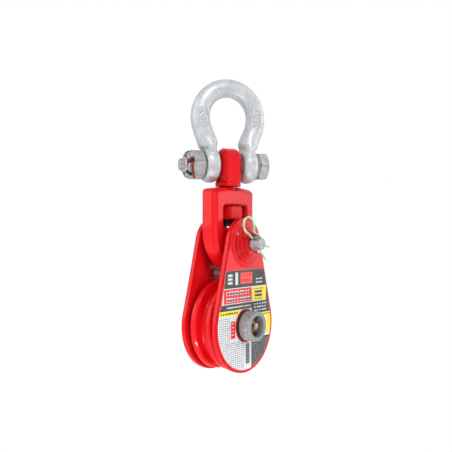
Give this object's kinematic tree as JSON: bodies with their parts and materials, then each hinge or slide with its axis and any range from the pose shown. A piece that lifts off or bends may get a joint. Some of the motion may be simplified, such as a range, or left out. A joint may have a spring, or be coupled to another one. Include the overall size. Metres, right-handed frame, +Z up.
{
  "type": "snatch block",
  "caption": "Swing-cheek pulley block: grooved sheave between two tapered cheeks on a pinned yoke, with a swivel eye and a bow shackle above.",
  "frame": {"origin": "inside top of the shackle bow, where the block hangs", "axes": "+Z up along the swivel axis; +X to the right across the cheeks, seen from the front; -Y out of the front cheek"},
  "size_m": [0.0884, 0.0765, 0.2745],
  "materials": {
    "red_paint": "gloss",
    "galvanised": "hot-dip galvanised, mottled matt",
    "zinc_plate": "satin zinc plate",
    "turned_steel": "turned, matt",
    "bronze": "satin",
    "brass": "satin",
    "rusted_steel": "rusty",
    "black_seal": "matt",
    "clip_zinc": "pale green zinc plate"
  },
  "bodies": {
    "shackle": {"shackle_bow": "galvanised", "shackle_bolt": "zinc_plate", "shackle_washer": "zinc_plate", "shackle_nut": "zinc_plate", "shackle_cotter": "rusted_steel"},
    "eye": {"swivel_eye": "red_paint", "swivel_nut": "red_paint", "swivel_lock_pin": "zinc_plate"},
    "yoke": {"yoke": "red_paint"},
    "block": {"rear_cheek": "red_paint", "latch_pin": "zinc_plate", "yoke_spacer_front": "zinc_plate", "yoke_spacer_rear": "zinc_plate", "keeper_bar": "turned_steel", "centre_pin": "turned_steel", "centre_cup": "turned_steel", "cup_washer": "black_seal", "grease_nipple": "brass", "thrust_washer_front": "bronze", "thrust_washer_rear": "bronze"},
    "sheave": {"sheave": "red_paint", "sheave_bush": "bronze"},
    "front_cheek": {"front_cheek": "red_paint"},
    "hairpin": {"hairpin": "clip_zinc"}
  },
  "joints": [
    {"name": "shackle_pivot", "type": "hinge", "parent": "shackle", "child": "eye", "pos_m": [0, 0, -0.0645], "axis": [0.866, -0.5, 0], "range_deg": [-90, 90]},
    {"name": "swivel", "type": "hinge", "parent": "eye", "child": "yoke", "pos_m": [0, 0, -0.0846], "axis": [0, 0, 1], "continuous": true},
    {"name": "block_pivot", "type": "hinge", "parent": "yoke", "child": "block", "pos_m": [0, 0, -0.1375], "axis": [0, 1, 0], "range_deg": [-32, 32]},
    {"name": "sheave_spin", "type": "hinge", "parent": "block", "child": "sheave", "pos_m": [0, 0, -0.2135], "axis": [0, 1, 0], "continuous": true},
    {"name": "cheek_swing", "type": "hinge", "parent": "block", "child": "front_cheek", "pos_m": [0, 0, -0.2135], "axis": [0, -1, 0], "range_deg": [0, 110]},
    {"name": "hairpin_pull", "type": "slide", "parent": "block", "child": "hairpin", "axis": [-0.7314, 0, 0.682], "range_m": [0, 0.03]}
  ]
}
